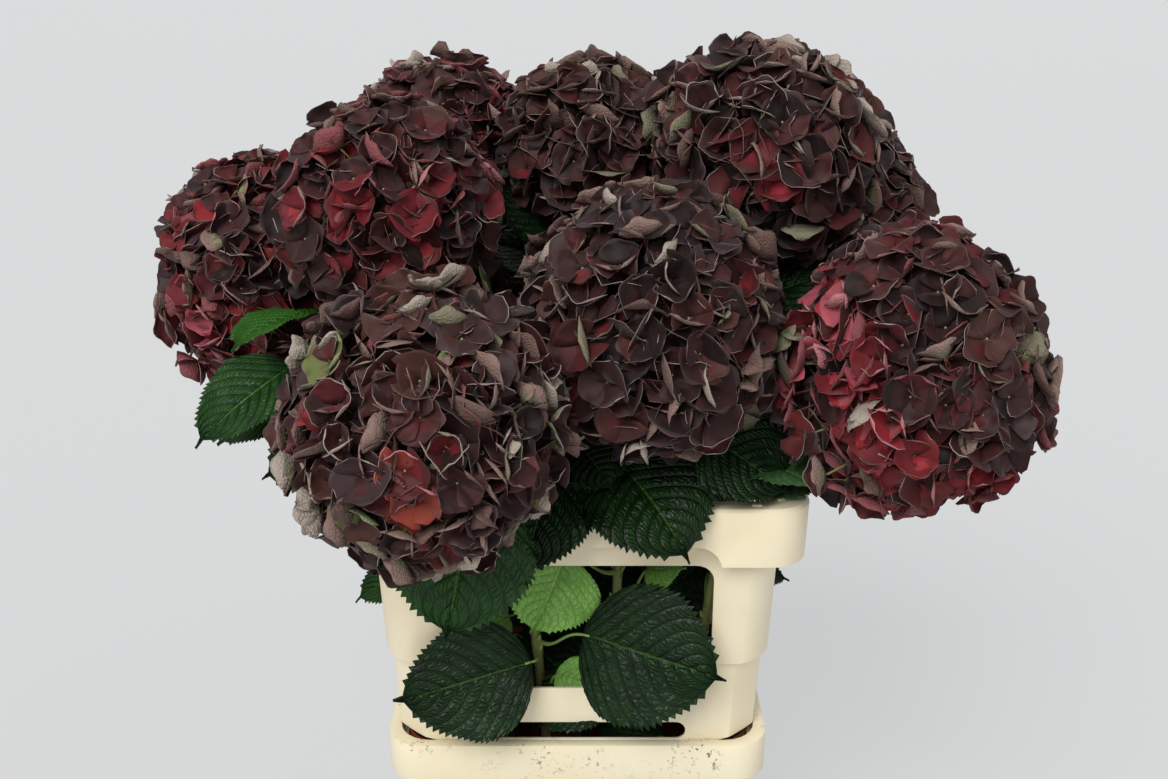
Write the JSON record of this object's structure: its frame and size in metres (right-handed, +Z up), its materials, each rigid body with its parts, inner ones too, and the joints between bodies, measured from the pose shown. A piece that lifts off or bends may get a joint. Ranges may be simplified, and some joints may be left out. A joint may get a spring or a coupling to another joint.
{
  "type": "cut hydrangea stems in a flower bucket",
  "caption": "Large dark red mophead hydrangea blooms on leafy cut stems, standing in a cream plastic flower bucket with a taller windowed collar.",
  "frame": {"origin": "centre of the bucket's flat underside", "axes": "+Z up along the stems, the bucket's long side along X, the front with the open window and its leaves facing -Y"},
  "size_m": [0.7842, 0.6096, 0.8631],
  "materials": {
    "bucket_plastic": "satin",
    "collar_plastic": "satin",
    "liner_plastic": "matte",
    "stem": "matte",
    "leaf": "satin",
    "maroon_florets": "matte",
    "crimson_florets": "matte"
  },
  "bodies": {
    "root": {"bucket": "bucket_plastic", "collar": "collar_plastic", "liner": "liner_plastic", "stem_front_left": "stem", "stem_centre": "stem", "stem_right": "stem", "stem_top_right": "stem", "stem_back_right": "stem", "stem_top_middle": "stem", "stem_top_left": "stem", "stem_middle_left": "stem", "stem_far_left": "stem", "stem_back_middle": "stem", "stem_back_low": "stem", "stem_back_left": "stem", "head_front_left": "maroon_florets", "head_centre": "maroon_florets", "head_right": "crimson_florets", "head_top_right": "maroon_florets", "head_back_right": "maroon_florets", "head_top_middle": "maroon_florets", "head_top_left": "crimson_florets", "head_middle_left": "crimson_florets", "head_far_left": "crimson_florets", "head_back_middle": "maroon_florets", "head_back_low": "maroon_florets", "head_back_left": "maroon_florets", "leaf_window_right": "leaf", "leaf_window_left": "leaf", "leaf_window_middle": "leaf", "leaf_window_upper": "leaf", "leaf_window_low": "leaf", "leaf_window_small": "leaf", "leaf_slot": "leaf", "leaf_rim_left": "leaf", "leaf_rim_middle": "leaf", "leaf_rim_right": "leaf", "leaf_under_centre": "leaf", "leaf_under_right": "leaf", "leaf_rim_corner": "leaf", "leaf_left_upper": "leaf", "leaf_left_middle": "leaf", "leaf_left_lower": "leaf", "leaf_left_behind": "leaf", "leaf_side_left": "leaf", "leaf_side_right": "leaf", "leaf_back_window_left": "leaf", "leaf_back_window_right": "leaf", "leaf_back_rim_left": "leaf", "leaf_back_rim_middle": "leaf", "leaf_back_corner": "leaf", "leaf_right_behind": "leaf"}
  },
  "joints": []
}
